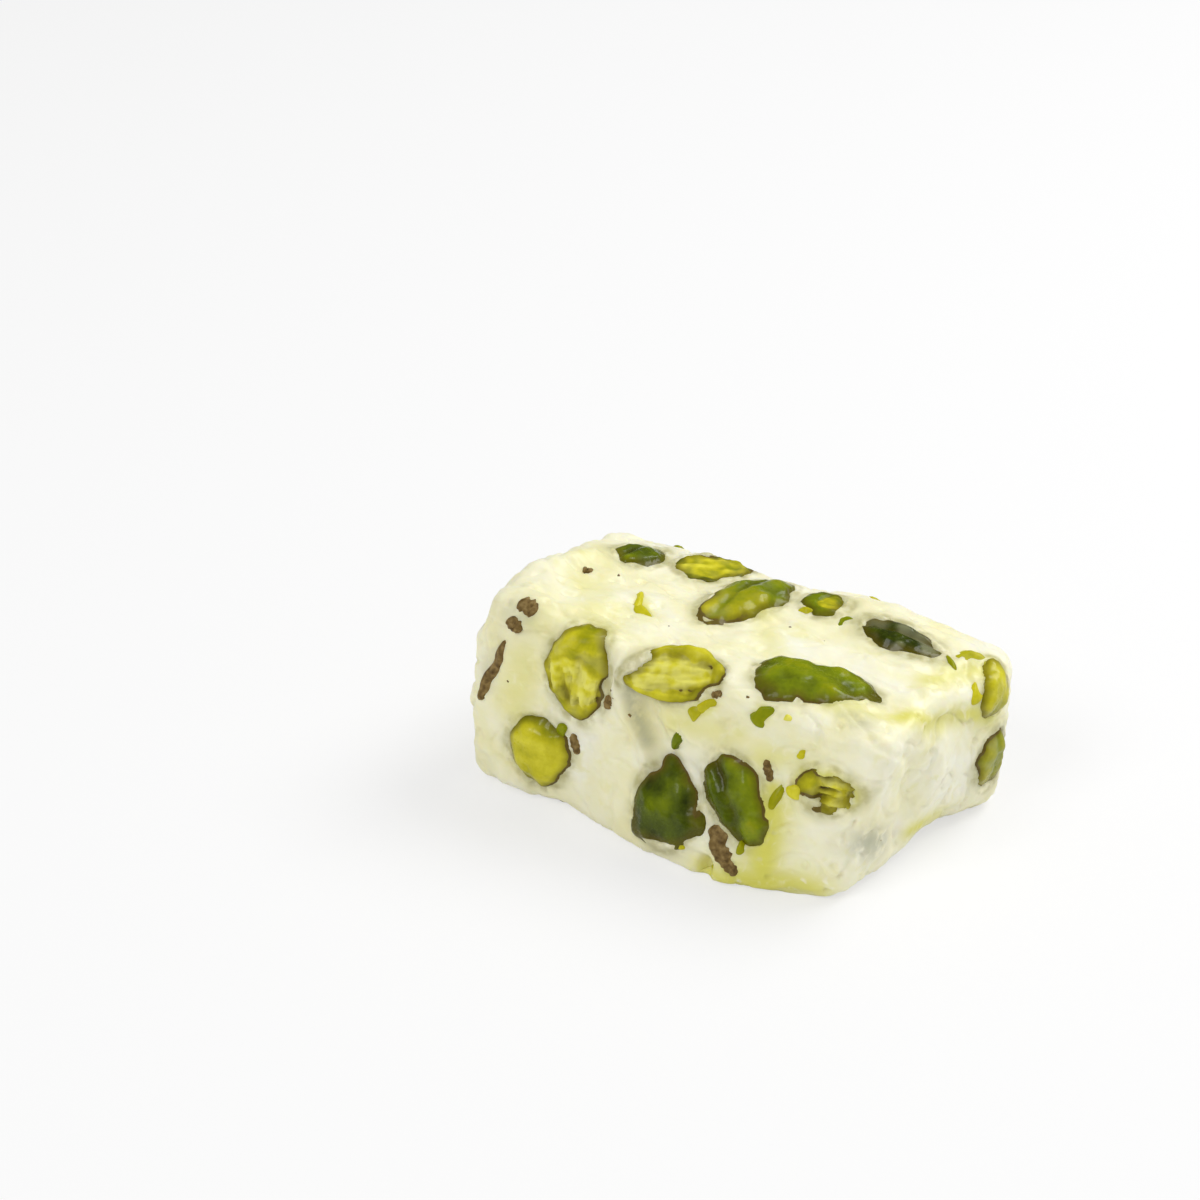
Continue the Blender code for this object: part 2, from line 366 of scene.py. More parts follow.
def nougat_material():
    """Soft sugar mass: cream with paler and yellower drifts, stained by kernels, grey films over buried ones, and
    painted shade round the kernels and in the hollow beside the ridge.
    """
    material, n, shader = new_material("nougat mass")
    drift = n.grain(9 * MM, 4.0, distortion=0.6)
    cream = n.ramp(
        drift,
        [(0.30, srgb(247, 241, 190)), (0.50, srgb(253, 248, 211)), (0.72, srgb(255, 252, 230))],
    )
    smear = n.band(n.grain(5 * MM, 5.0, (1.0, 1.6, 1.4), distortion=1.2), 0.56, 0.72)
    cream = n.mix(n.math("MULTIPLY", smear, 0.45), cream, (*srgb(240, 235, 168), 1))
    # Painted shade: a grey halo round the kernels.
    painted_shade_halo = n.math("MULTIPLY", n.mask("near_kernel"), n.band(n.grain(3 * MM, 2.0), 0.30, 0.62))
    cream = n.mix(n.math("MULTIPLY", painted_shade_halo, 0.72), cream, (*srgb(205, 203, 158), 1))
    patchy = n.band(n.grain(1.8 * MM, 3.0), 0.34, 0.66)
    # Painted shade: a darker olive band where the mass meets a kernel.
    painted_contact_shade = n.math("MULTIPLY", n.math("MULTIPLY", n.band(n.mask("near_kernel"), 0.55, 1.0), 0.62), patchy)
    cream = n.mix(painted_contact_shade, cream, (*srgb(176, 168, 104), 1))
    stain = n.math("MULTIPLY", n.mask("stain"), n.band(n.grain(2.2 * MM, 4.0, distortion=0.8), 0.18, 0.48))
    cream = n.mix(stain, cream, (*srgb(226, 222, 96), 1))
    # Grey films over buried kernels, and painted shade in the hollow beside the ridge.
    film = n.math("MULTIPLY", n.mask("film"), n.band(n.grain(2.5 * MM, 3.0), 0.25, 0.55))
    cream = n.mix(n.math("MULTIPLY", film, 0.8), cream, (*srgb(178, 180, 152), 1))
    n.join(cream, shader.inputs["Base Color"])
    soft = n.grain(1.4 * MM, 5.0)
    n.join(n.math("ADD", n.math("MULTIPLY", soft, 0.22), 0.30), shader.inputs["Roughness"])
    bump = n.add("Bump")
    bump.inputs["Strength"].default_value = 0.45
    bump.inputs["Distance"].default_value = 0.16 * MM
    n.join(n.math("ADD", soft, n.math("MULTIPLY", n.grain(0.35 * MM, 2.0), 0.25)), bump.inputs["Height"])
    n.join(bump.outputs["Normal"], shader.inputs["Normal"])
    shader.inputs["Subsurface Weight"].default_value = 0.30
    shader.inputs["Subsurface Radius"].default_value = (1.0, 0.82, 0.42)
    shader.inputs["Subsurface Scale"].default_value = 1.5 * MM
    shader.inputs["Coat Weight"].default_value = 0.08
    shader.inputs["Coat Roughness"].default_value = 0.3
    return material


def skin_material():
    """The papery brown skin of a pistachio."""
    material, n, shader = new_material("kernel skin")
    tone = n.ramp(
        n.grain(0.8 * MM, 4.0),
        [(0.30, srgb(84, 62, 22)), (0.52, srgb(126, 102, 54)), (0.75, srgb(162, 138, 86))],
    )
    n.join(tone, shader.inputs["Base Color"])
    shader.inputs["Specular IOR Level"].default_value = 0.25
    n.join(n.math("ADD", n.math("MULTIPLY", n.grain(0.5 * MM), 0.3), 0.45), shader.inputs["Roughness"])
    bump = n.add("Bump")
    bump.inputs["Strength"].default_value = 0.5
    bump.inputs["Distance"].default_value = 0.1 * MM
    n.join(n.grain(0.4 * MM, 3.0), bump.inputs["Height"])
    n.join(bump.outputs["Normal"], shader.inputs["Normal"])
    return material


# ---------------------------------------------------------------- the nougat mass

NODE_NAMES = list(frame["nodes"])
KERNEL_NODES = [name for name in NODE_NAMES if name.startswith("kernel_")]


def box_place(across, back, up):
    """A point given as fractions of the bar's box."""
    low, high = CAD_LOW, CAD_HIGH
    return Vector(low[axis] + t * (high[axis] - low[axis]) for axis, t in enumerate((across, back, up)))


def kernel_tree():
    """All kernels as one tree that answers how near a point is to them."""
    points, faces = [], []
    for name in KERNEL_NODES:
        mesh = bpy.data.objects[name].data
        base = len(points)
        points += [vert.co.copy() for vert in mesh.vertices]
        faces += [[base + index for index in face.vertices] for face in mesh.polygons]
    return BVHTree.FromPolygons(points, faces)


def distance_to_path(points, path):
    """How far each point is from a broken line through these places."""
    best = np.full(len(points), 1e9)
    for start, end in zip(path, path[1:]):
        a, b = np.array(start), np.array(end)
        way = b - a
        t = np.clip((points - a) @ way / max(way @ way, 1e-12), 0, 1)
        best = np.minimum(best, np.linalg.norm(points - (a + t[:, None] * way), axis=1))
    return best


# Marks of knife and fingers: places as fractions of the box, height and reach in millimetres.
MARKS = (
    (((0.34, 0.17, 0.88), (0.36, 0.14, 0.80)), 0.7, 1.5),
    (((0.37, 0.13, 0.74), (0.39, 0.12, 0.64), (0.43, 0.11, 0.53), (0.47, 0.09, 0.42)), 1.5, 1.3),
    (((0.42, 0.14, 0.74), (0.44, 0.13, 0.64), (0.48, 0.11, 0.53), (0.52, 0.10, 0.42)), -2.0, 1.6),
    (((0.34, 0.10, 0.50), (0.38, 0.08, 0.20)), 0.6, 2.4),
    (((0.50, 0.12, 0.60), (0.60, 0.12, 0.64), (0.72, 0.13, 0.68)), 0.6, 3.0),
    (((0.93, 0.22, 0.80), (0.93, 0.19, 0.66)), 1.0, 2.2),
    (((0.965, 0.40, 0.76), (0.97, 0.60, 0.68)), -0.9, 1.8),
    (((0.95, 0.34, 0.70), (0.95, 0.40, 0.50), (0.92, 0.38, 0.20)), -0.8, 1.7),
    (((0.97, 0.52, 0.60), (0.96, 0.50, 0.30)), 0.7, 1.8),
    (((0.86, 0.30, 0.88), (0.78, 0.34, 0.90)), 0.6, 1.8),
    (((0.90, 0.40, 0.86), (0.80, 0.46, 0.88)), -0.6, 1.6),
    (((0.93, 0.56, 0.85), (0.86, 0.62, 0.88)), 0.8, 2.0),
    (((0.12, 0.09, 0.10), (0.17, 0.08, 0.06)), 1.2, 1.6),
    (((0.22, 0.07, 0.05), (0.25, 0.07, 0.05)), 0.9, 1.4),
    (((0.195, 0.07, 0.03), (0.195, 0.08, 0.10)), -0.9, 0.9),
    (((0.09, 0.12, 0.20),), 0.7, 1.6),
    (((0.615, 0.02, 0.02), (0.62, 0.02, 0.08)), -2.6, 0.9),
    (((0.04, 0.20, 0.70), (0.08, 0.40, 0.96), (0.14, 0.70, 1.00)), 1.0, 1.7),
    (((0.12, 0.20, 0.94), (0.20, 0.24, 0.98)), 0.8, 1.4),
    (((0.10, 0.14, 0.80), (0.07, 0.10, 0.55)), -0.7, 1.5),
    (((0.24, 0.30, 0.97), (0.30, 0.60, 0.97)), 0.5, 2.2),
    (((0.40, 0.46, 0.93), (0.55, 0.60, 0.92)), -0.4, 2.4),
    (((0.60, 0.50, 0.91), (0.80, 0.58, 0.90)), 0.35, 2.4),
    (((0.20, 0.96, 0.70), (0.45, 0.98, 0.50)), 0.8, 2.6),
    (((0.60, 0.98, 0.80), (0.70, 0.98, 0.30)), -0.8, 2.4),
    (((0.10, 0.96, 0.30), (0.30, 0.98, 0.20)), -0.6, 2.4),
    (((0.01, 0.60, 0.70), (0.01, 0.70, 0.20)), 0.8, 2.2),
    (((0.01, 0.30, 0.60), (0.01, 0.20, 0.30)), -0.5, 2.4),
)

# Places where the mass laps further over a kernel: its reach over it and its width, in mm.
COVERS = (
    (((0.39, 0.14, 0.84), (0.42, 0.18, 0.90)), 1.5, 1.4),
    (((0.57, 0.17, 0.83),), 1.4, 1.4),
    (((0.49, 0.02, 0.11), (0.55, 0.02, 0.10), (0.59, 0.02, 0.12)), 1.9, 1.3),
    (((0.43, 0.07, 0.31),), 0.8, 1.0),
    (((0.61, 0.06, 0.30), (0.66, 0.05, 0.16)), 1.5, 1.5),
    (((0.805, 0.14, 0.50), (0.825, 0.14, 0.50)), 2.6, 1.1),
    (((0.83, 0.14, 0.66),), 2.2, 0.9),
    (((0.88, 0.15, 0.54),), 1.0, 1.2),
    (((0.66, 0.45, 0.87), (0.70, 0.42, 0.87)), 1.3, 1.5),
    (((0.84, 0.47, 0.84),), 0.8, 1.4),
    (((0.44, 0.67, 0.93), (0.40, 0.60, 0.93)), 1.2, 1.6),
    (((0.36, 0.15, 0.84),), 1.0, 1.2),
    (((0.73, 0.78, 0.90),), 0.9, 1.4),
)

# Yellow-green smears where kernels were dragged, and grey films over buried ones; the film along the hollow right of
# the ridge is painted shade.
STAINS = (
    (((0.90, 0.36, 0.86), (0.95, 0.48, 0.74), (0.97, 0.68, 0.66), (0.97, 0.80, 0.56)), 1.6, 0.9),
    (((0.90, 0.60, 0.86), (0.96, 0.82, 0.80)), 2.0, 0.7),
    (((0.73, 0.10, 0.40), (0.74, 0.05, 0.24), (0.74, 0.03, 0.04), (0.84, 0.06, 0.03)), 3.0, 1.0),
    (((0.62, 0.02, 0.03), (0.70, 0.02, 0.03)), 2.2, 1.0),
    (((0.16, 0.10, 0.75), (0.14, 0.08, 0.50)), 3.0, 0.45),
    (((0.24, 0.30, 0.96), (0.10, 0.60, 0.98)), 3.0, 0.3),
    (((0.68, 0.03, 0.06), (0.84, 0.06, 0.06)), 3.4, 1.0),
    (((0.50, 0.12, 0.66), (0.64, 0.12, 0.72)), 2.0, 0.5),
    (((0.70, 0.14, 0.62), (0.78, 0.12, 0.70)), 2.4, 0.6),
    (((0.20, 0.40, 0.96), (0.30, 0.20, 0.95)), 3.4, 0.35),
    (((0.93, 0.46, 0.16), (0.95, 0.62, 0.10)), 1.8, 1.0),
    (((0.60, 0.45, 0.92), (0.52, 0.62, 0.92)), 2.2, 0.5),
    (((0.80, 0.30, 0.88), (0.88, 0.34, 0.88)), 2.6, 0.5),
    (((0.16, 0.16, 0.90), (0.34, 0.40, 0.94)), 3.0, 0.3),
    (((0.30, 0.98, 0.40), (0.40, 0.98, 0.20)), 3.0, 0.5),
    (((0.00, 0.40, 0.30), (0.00, 0.60, 0.50)), 3.0, 0.5),
)
STAINS += (
    (((0.79, 0.14, 0.58), (0.84, 0.14, 0.62), (0.88, 0.15, 0.56)), 1.6, 1.0),
    (((0.68, 0.18, 0.81),), 1.3, 0.8),
    (((0.54, 0.15, 0.73), (0.57, 0.16, 0.78)), 1.2, 0.8),
    (((0.73, 0.12, 0.50), (0.75, 0.11, 0.34)), 1.3, 1.0),
    (((0.30, 0.44, 0.92), (0.33, 0.40, 0.92)), 1.4, 0.8),
)
FILMS_AND_HOLLOW_SHADE = (
    (((0.91, 0.20, 0.30), (0.92, 0.28, 0.22)), 2.6, 1.0),
    (((0.87, 0.27, 0.86), (0.84, 0.25, 0.86)), 1.8, 0.6),
    # Painted shade: grey in the hollow to the right of the ridge.
    (((0.40, 0.14, 0.74), (0.42, 0.13, 0.64), (0.45, 0.11, 0.55)), 1.5, 0.9),
    (((0.12, 0.16, 0.92), (0.14, 0.16, 0.95)), 2.6, 0.5),
    (((0.66, 0.03, 0.20), (0.62, 0.05, 0.34), (0.56, 0.10, 0.48)), 1.6, 0.35),
    (((0.08, 0.10, 0.80), (0.06, 0.09, 0.60)), 1.5, 0.7),
    (((0.44, 0.98, 0.70), (0.48, 0.98, 0.64)), 2.0, 0.7),
)


def spread(points, marks):
    """A mask from 0 to 1 round the marks' paths."""
    total = np.zeros(len(points))
    for path, reach, strength in marks:
        path = path if len(path) > 1 else path * 2
        near = distance_to_path(points, [box_place(*place) for place in path])
        total = np.maximum(total, strength * np.exp(-((near / (reach * MM)) ** 2)))
    return total


def cad_tree(node):
    """A CAD node as a tree that answers how near a point is to its surface."""
    mesh = bpy.data.objects[node].data
    return BVHTree.FromPolygons([v.co.copy() for v in mesh.vertices], [list(f.vertices) for f in mesh.polygons])


def reach_of(tree, points, limit):
    """How far each point is from a tree's surface, up to a limit."""
    found = (tree.find_nearest(Vector(p), limit)[3] for p in points)
    return np.array([limit if away is None else away for away in found])


def make_nougat(material):
    """The mass: the CAD block made soft, with lumps, knife drags, dents and lips over kernels."""
    piece = copy_of_node("nougat", "nougat_mass")
    fillings = []
    for node in KERNEL_NODES:
        filling = copy_of_node(node, "filling")
        points, ways = points_of(filling.data)
        set_points(filling.data, points + ways * POCKET_FILL)
        fillings.append(filling)
    join_as("nougat_mass", [piece, *fillings])
    apply_modifier(piece, "REMESH", mode="VOXEL", voxel_size=NOUGAT_VOXEL)
    apply_modifier(piece, "SMOOTH", factor=0.5, iterations=6)
    points, ways = points_of(piece.data)
    near = reach_of(kernel_tree(), points, 4 * MM)
    over = reach_of(cad_tree("nougat"), points, 4 * MM) * (near < 0.9 * MM)
    height = 0.60 * MM * ripple(points, 9 * MM, 1.0)
    height += 0.42 * MM * ripple(points, 3.8 * MM, 5.0)
    height += 0.20 * MM * ripple(points * (0.5, 1.4, 1.2), 1.7 * MM, 9.0)
    height -= 0.30 * MM * np.exp(-((ripple(points * (0.6, 1.2, 1.0), 5 * MM, 14.0) / 0.06) ** 2))
    height += 0.08 * MM * ripple(points, 0.9 * MM, 3.0)
    height -= 0.35 * MM * smoothstep(0.42, 0.62, ripple(points, 1.7 * MM, 20.0))
    height *= 0.35 + 0.65 * smoothstep(0.6 * MM, 2.2 * MM, near)
    for path, rise, reach in MARKS:
        path = path if len(path) > 1 else path * 2
        away = distance_to_path(points, [box_place(*place) for place in path])
        height += rise * MM * np.exp(-((away / (reach * MM)) ** 2))
    edge = 0.25 * MM + 0.95 * MM * ripple(points, 2.6 * MM, 31.0) + 0.2 * MM * ripple(points, 1.1 * MM, 44.0)
    for path, cover, reach in COVERS:
        path = path if len(path) > 1 else path * 2
        away = distance_to_path(points, [box_place(*place) for place in path])
        edge += cover * MM * np.exp(-((away / (reach * MM)) ** 2))
    edge = np.maximum(edge, 0.02 * MM)
    round_kernel = 1 - smoothstep(0.7 * MM, 2.4 * MM, near)
    sunk = smoothstep(0, 1, (over - edge) / (0.75 * MM))
    height += round_kernel * (0.20 * MM * (1 - sunk)) - 1.5 * MM * sunk
    resting = 1 - smoothstep(0.0, 1.2 * MM, points[:, 2])
    moved = points + ways * height[:, None]
    moved[:, 2] = np.where(resting > 0, np.maximum(moved[:, 2], 0) * (1 - resting) + points[:, 2] * resting, moved[:, 2])
    set_points(piece.data, moved)
    # near_kernel: where the nougat colour paints shade round the kernels.
    add_mask(piece.data, "near_kernel", 1 - smoothstep(0.25 * MM, 2.2 * MM, near))
    add_mask(piece.data, "stain", spread(moved, STAINS))
    add_mask(piece.data, "film", spread(moved, FILMS_AND_HOLLOW_SHADE))
    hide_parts("nougat")
    return dress(piece, material)


# ---------------------------------------------------------------- the kernels

# Ripeness from 0, deep green, to 1, pale lime; how it changes along and across the kernel;
# the side where brown skin clings and how much; sugar film; the depth of its crease in mm, which also darkens it as
# painted shade;
# a paler middle as painted light on its rounded face; and the broken part: its middle along and across, its half sizes,
# and how rough it is in mm.
LOOKS = {
    "kernel_front_1": dict(
        ripe=0.54, skin=0.8, skin_way=(0.9, 0, -0.4), film=0.25, facets=0.8, broken=(-0.02, 0.0, 0.50, 0.85, 1.3)
    ),
    "kernel_front_2": dict(ripe=0.50, skin=0.9, skin_way=(0.8, 0, -0.1), middle=0.34, crease=0.0, facets=0.8),
    "kernel_front_3": dict(
        ripe=0.13, skin=0.7, skin_way=(0.2, 0, 1.0), crease=0.10, facets=0.6, blunt=(-0.6, 0.32, 0.0, 0.0), middle=0.06
    ),
    "kernel_front_4": dict(
        ripe=0.24, across=-0.18, skin=0.8, skin_way=(0.8, 0, 0.8), crease=0.45, facets=0.8, blunt=(0.7, 0.45, 0.0, 0.0)
    ),
    "kernel_front_5": dict(
        ripe=0.46, skin=1.3, skin_way=(-0.8, 0, -0.2), film=0.4, facets=1.6, broken=(0.3, 0.1, 0.6, 0.8, 1.4)
    ),
    "kernel_edge_1": dict(
        ripe=0.56, skin=0.9, skin_way=(0.8, 0, -0.6), facets=0.7, broken=(-0.12, -0.10, 0.82, 0.78, 0.7)
    ),
    "kernel_top_1": dict(
        ripe=0.28, skin=0.6, skin_way=(0, -1, 0), crease=0.05, facets=0.8, middle=0.14,
        blunt=(-0.75, 0.50, 0.50, 0.36),
    ),
    "kernel_top_2": dict(ripe=0.42, along=-0.22, skin=0.7, skin_way=(-0.4, -0.9, 0), crease=0.5, facets=1.0, film=0.15),
    "kernel_top_3": dict(ripe=0.22, skin=0.7, skin_way=(-0.2, 1, 0), film=0.1, broken=(0.0, 0.0, 0.9, 0.8, 0.4)),
    "kernel_top_4": dict(ripe=0.24, skin=0.8, skin_way=(-1, 0.3, 0), film=0.1, crease=0.3),
    "kernel_top_5": dict(ripe=0.18, along=0.1, skin=0.4, skin_way=(1, 0, 0), facets=1.4, broken=(0.3, 0.0, 0.5, 0.6, 0.5)),
    "kernel_top_6": dict(ripe=0.02, skin=0.5, skin_way=(0, 1, 0), film=0.5, crease=0.6),
    "kernel_right_1": dict(ripe=0.46, along=-0.12, skin=1.0, skin_way=(0, -0.6, 0.8), film=0.3, facets=1.2),
    "kernel_right_2": dict(ripe=0.62, along=0.1, skin=0.3, skin_way=(0, 1, 0), film=0.2, facets=1.2),
}
PLAIN_LOOKS = (
    dict(ripe=0.26, along=0.06, skin=0.6, skin_way=(0.2, 0.2, 1), crease=0.3, facets=0.9),
    dict(ripe=0.58, skin=0.8, skin_way=(0.7, -0.2, -0.5), broken=(0.0, 0.0, 0.8, 0.8, 0.5)),
    dict(ripe=0.16, across=0.1, skin=0.5, skin_way=(-0.6, 0.4, 0.4), crease=0.5, film=0.2),
)


def knife_flat(mesh):
    """The outward way of the flat that a knife left on a kernel, or None if there is none."""
    areas = {}
    for face in mesh.polygons:
        key = tuple(round(value, 2) for value in face.normal)
        areas[key] = areas.get(key, 0.0) + face.area
    way, area = max(areas.items(), key=lambda item: item[1])
    whole = sum(areas.values())
    return Vector(way).normalized() if area > 0.12 * whole else None


def kernel_axes(points, outward):
    """Centre, long axis, side axis and outward axis of a kernel, and its half sizes."""
    centre = (points.min(axis=0) + points.max(axis=0)) / 2
    spreads, axes = np.linalg.eigh(np.cov((points - centre).T))
    long_axis = Vector(axes[:, 2])
    if long_axis.x + 1.1 * long_axis.z < 0:
        long_axis = -long_axis
    out = outward - long_axis * outward.dot(long_axis)
    if out.length < 0.3:
        out = long_axis.orthogonal()
    out.normalize()
    side = out.cross(long_axis).normalized()
    frame_axes = np.array([long_axis, side, out])
    local = (points - centre) @ frame_axes.T
    return centre, frame_axes, np.abs(local).max(axis=0)


def make_kernel(node, order, materials):
    """A kernel: swollen to fill its pocket, creased, wrinkled, broken where the knife passed."""
    look = LOOKS.get(node, PLAIN_LOOKS[order % len(PLAIN_LOOKS)])
    side_name = node.split("_")[1]
    flat = knife_flat(bpy.data.objects[node].data)
    outward = flat or OUTWARD[side_name]
    piece = copy_of_node(node, node.replace("kernel", "pistachio"))
    points, ways = points_of(piece.data)
    centre, axes, half = kernel_axes(points, outward)
    set_points(piece.data, points + ways * KERNEL_SWELL)
    apply_modifier(piece, "REMESH", mode="VOXEL", voxel_size=KERNEL_VOXEL)
    apply_modifier(piece, "SMOOTH", factor=0.5, iterations=8)
    points, ways = points_of(piece.data)
    local = (points - centre) @ axes.T
    if "blunt" in look:
        one, fuller_one, two, fuller_two = look["blunt"]
        place = local[:, 0] / half[0]
        local[:, 1] *= 1 + fuller_one * np.exp(-(((place - one) / 0.35) ** 2))
        local[:, 1] *= 1 + fuller_two * np.exp(-(((place - two) / 0.30) ** 2))
        points = centre + local @ axes
    along, across, out = (local / half).T
    facing = ways @ axes[2]
    shift = 3.0 * order
    facets = look.get("facets", 0.5)
    streaks = np.array([noise.noise(Vector((a * 1.2 + shift, s * 4, o * 3))) for a, s, o in local / half])
    lumps = ripple(points, 3.2 * MM, shift)
    height = 0.10 * MM * streaks + facets * MM * 0.42 * lumps
    height += 0.12 * MM * ripple(points, 1.3 * MM, shift + 2) + 0.05 * MM * ripple(points, 0.6 * MM, shift + 4)
    crease_line = across - 0.15 - 0.25 * np.sin(along * 2.2 + shift)
    crease = np.exp(-((crease_line / 0.14) ** 2)) * smoothstep(0.0, 0.6, facing)
    height -= look.get("crease", 0.1) * MM * crease * smoothstep(1.0, 0.6, np.abs(along))
    cut = np.zeros(len(points))
    if "broken" in look:
        middle_along, middle_across, half_along, half_across, rough = look["broken"]
        reach = np.hypot((along - middle_along) / half_along, (across - middle_across) / half_across)
        reach += 0.35 * ripple(points, 2.0 * MM, shift + 5)
        cut = smoothstep(1.05, 0.85, reach) * smoothstep(0.1, 0.5, facing)
        flat_places = [Vector((a * 2.2, s * 6.5, shift)) for a, s in local[:, :2] / half[:2]]
        fibres = np.array([noise.noise(place) for place in flat_places])
        chips = np.array([noise.noise(place * 0.45 + Vector((0, 0, 7))) for place in flat_places])
        ledge = np.exp(-(((reach - 0.98) / 0.12) ** 2)) * smoothstep(0.1, 0.5, facing)
        height += cut * rough * MM * (0.45 * fibres + 0.8 * np.round(chips * 4) / 4 - 0.35) - 0.2 * MM * ledge
    set_points(piece.data, points + ways * height[:, None])
    ripe = look["ripe"] + look.get("along", 0) * along + look.get("across", 0) * across
    # Painted light: the middle is made paler, for the light on the kernel's rounded face.
    ripe += 0.08 * streaks + 0.16 * lumps + look.get("middle", 0) * (0.7 - along**2 - across**2)
    # The cut face is paler flesh; the crease is darkened as painted shade.
    ripe += cut * (0.30 + 0.25 * ripple(points, 1.1 * MM, shift + 8)) - 0.25 * crease * look.get("crease", 0.1)
    way = Vector(look["skin_way"]).normalized()
    spoke = (points - centre) / np.maximum(np.linalg.norm(points - centre, axis=1), 1e-9)[:, None]
    skin = look["skin"] * smoothstep(-0.1, 0.7, spoke @ np.array(way) + 0.4 * ripple(points, 2.6 * MM, shift + 11))
    add_mask(piece.data, "ripe", ripe)
    add_mask(piece.data, "skin", skin)
    add_mask(piece.data, "cut", cut)
    film = look.get("film", 0) * smoothstep(-0.1, 0.5, ripple(points, 2.2 * MM, shift + 17))
    add_mask(piece.data, "film", film)
    add_mask(piece.data, "rim", np.zeros(len(points)))
    slot = {True: "kernel_cut", False: "kernel_green" if look["ripe"] < 0.4 else "kernel_olive"}[flat is not None]
    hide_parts(node)
    return dress(piece, materials[slot])


def shade_rims(kernels, nougat):
    """Marks each kernel where it dips under the mass round it: there its colour gets brown skin and painted shade."""
    mesh = nougat.data
    tree = BVHTree.FromPolygons([v.co.copy() for v in mesh.vertices], [list(f.vertices) for f in mesh.polygons])
    for piece in kernels:
        points, _ = points_of(piece.data)
        away = reach_of(tree, points, 1.6 * MM)
        rim = 1 - away / (1.6 * MM)
        piece.data.attributes["rim"].data.foreach_set("value", rim.astype(np.float32))
    return tree


# ---------------------------------------------------------------- crumbs, skin and specks

def on_bar(tree, fractions):
    """The surface point nearest to a place in the box, and its outward way."""
    place, way, _, _ = tree.find_nearest(box_place(*fractions))
    return place, way


def anywhere(rng, sides):
    """A random place on one of these sides of the box, as fractions."""
    side = OUTWARD[rng.choice(sides)]
    return tuple(rng.uniform(0.14, 0.86) if abs(way) < 0.5 else 0.5 + 0.5 * way for way in side)


def seat(place, way, turn, sunk):
    """A matrix that lays a small thing on the surface, turned, and sunk into it."""
    side = (UP if abs(way.z) < 0.8 else Vector((0, 1, 0))).cross(way).normalized()
    axes = Matrix((side, way.cross(side), way)).transposed().to_4x4()
    return Matrix.Translation(place - way * sunk) @ axes @ Matrix.Rotation(math.radians(turn), 4, "Z")


def crumb_form(rng):
    """A broken bit of kernel, one unit long, faceted by knife cuts."""
    bpy.ops.object.select_all(action="DESELECT")
    bpy.ops.mesh.primitive_ico_sphere_add(subdivisions=3, radius=0.5)
    crumb = bpy.context.object
    bpy.ops.object.mode_set(mode="EDIT")
    for _ in range(3):
        bpy.ops.mesh.select_all(action="SELECT")
        way = Vector((rng.uniform(-1, 1), rng.uniform(-1, 1), rng.uniform(0, 1))).normalized()
        bpy.ops.mesh.bisect(plane_co=way * rng.uniform(0.26, 0.40), plane_no=way, use_fill=True, clear_outer=True)
    bpy.ops.object.mode_set(mode="OBJECT")
    apply_modifier(crumb, "REMESH", mode="VOXEL", voxel_size=0.075)
    apply_modifier(crumb, "SMOOTH", factor=0.4, iterations=1)
    return crumb


def place_copy(form, matrix):
    """A copy of a form with its own mesh, its place put into the mesh."""
    thing = form.copy()
    thing.data = form.data.copy()
    thing.data.transform(matrix)
    bpy.context.scene.collection.objects.link(thing)
    return thing


# Crumbs: place in the box, length, width and thickness in mm, turn, ripeness.
CRUMBS = (
    ((0.292, 0.44, 0.92), 3.6, 1.1, 0.9, -62, 0.66),
    ((0.325, 0.40, 0.92), 3.6, 1.7, 1.0, -28, 0.56),
    ((0.540, 0.15, 0.72), 2.6, 1.8, 1.0, 60, 0.52),
    ((0.560, 0.16, 0.77), 2.8, 1.1, 0.9, 40, 0.58),
    ((0.680, 0.18, 0.81), 2.6, 2.4, 1.2, 0, 0.32),
    ((0.515, 0.11, 0.56), 2.6, 1.3, 1.0, 75, 0.20),
    ((0.690, 0.04, 0.22), 1.7, 1.2, 0.8, 80, 0.40),
    ((0.730, 0.19, 0.82), 1.2, 0.8, 0.6, 0, 0.84),
    ((0.780, 0.14, 0.72), 1.1, 0.8, 0.6, 30, 0.60),
    ((0.920, 0.81, 0.83), 3.4, 2.4, 1.2, 10, 0.52),
    ((0.900, 0.74, 0.88), 2.4, 0.9, 0.8, -30, 0.36),
    ((0.960, 0.72, 0.74), 2.4, 1.8, 1.0, 60, 0.62),
    ((0.560, 0.04, 0.13), 1.1, 0.8, 0.8, 10, 0.60),
    ((0.580, 0.72, 0.88), 2.0, 1.1, 0.9, 0, 0.55),
    ((0.660, 0.74, 0.87), 1.8, 1.2, 0.9, 30, 0.25),
    ((0.740, 0.12, 0.45), 3.6, 1.6, 1.0, 75, 0.42),
    ((0.790, 0.12, 0.56), 2.2, 1.8, 1.2, 0, 0.72),
    ((0.245, 0.10, 0.40), 2.6, 1.6, 0.9, 70, 0.30),
    ((0.620, 0.03, 0.06), 1.0, 0.7, 0.6, 10, 0.50),
)
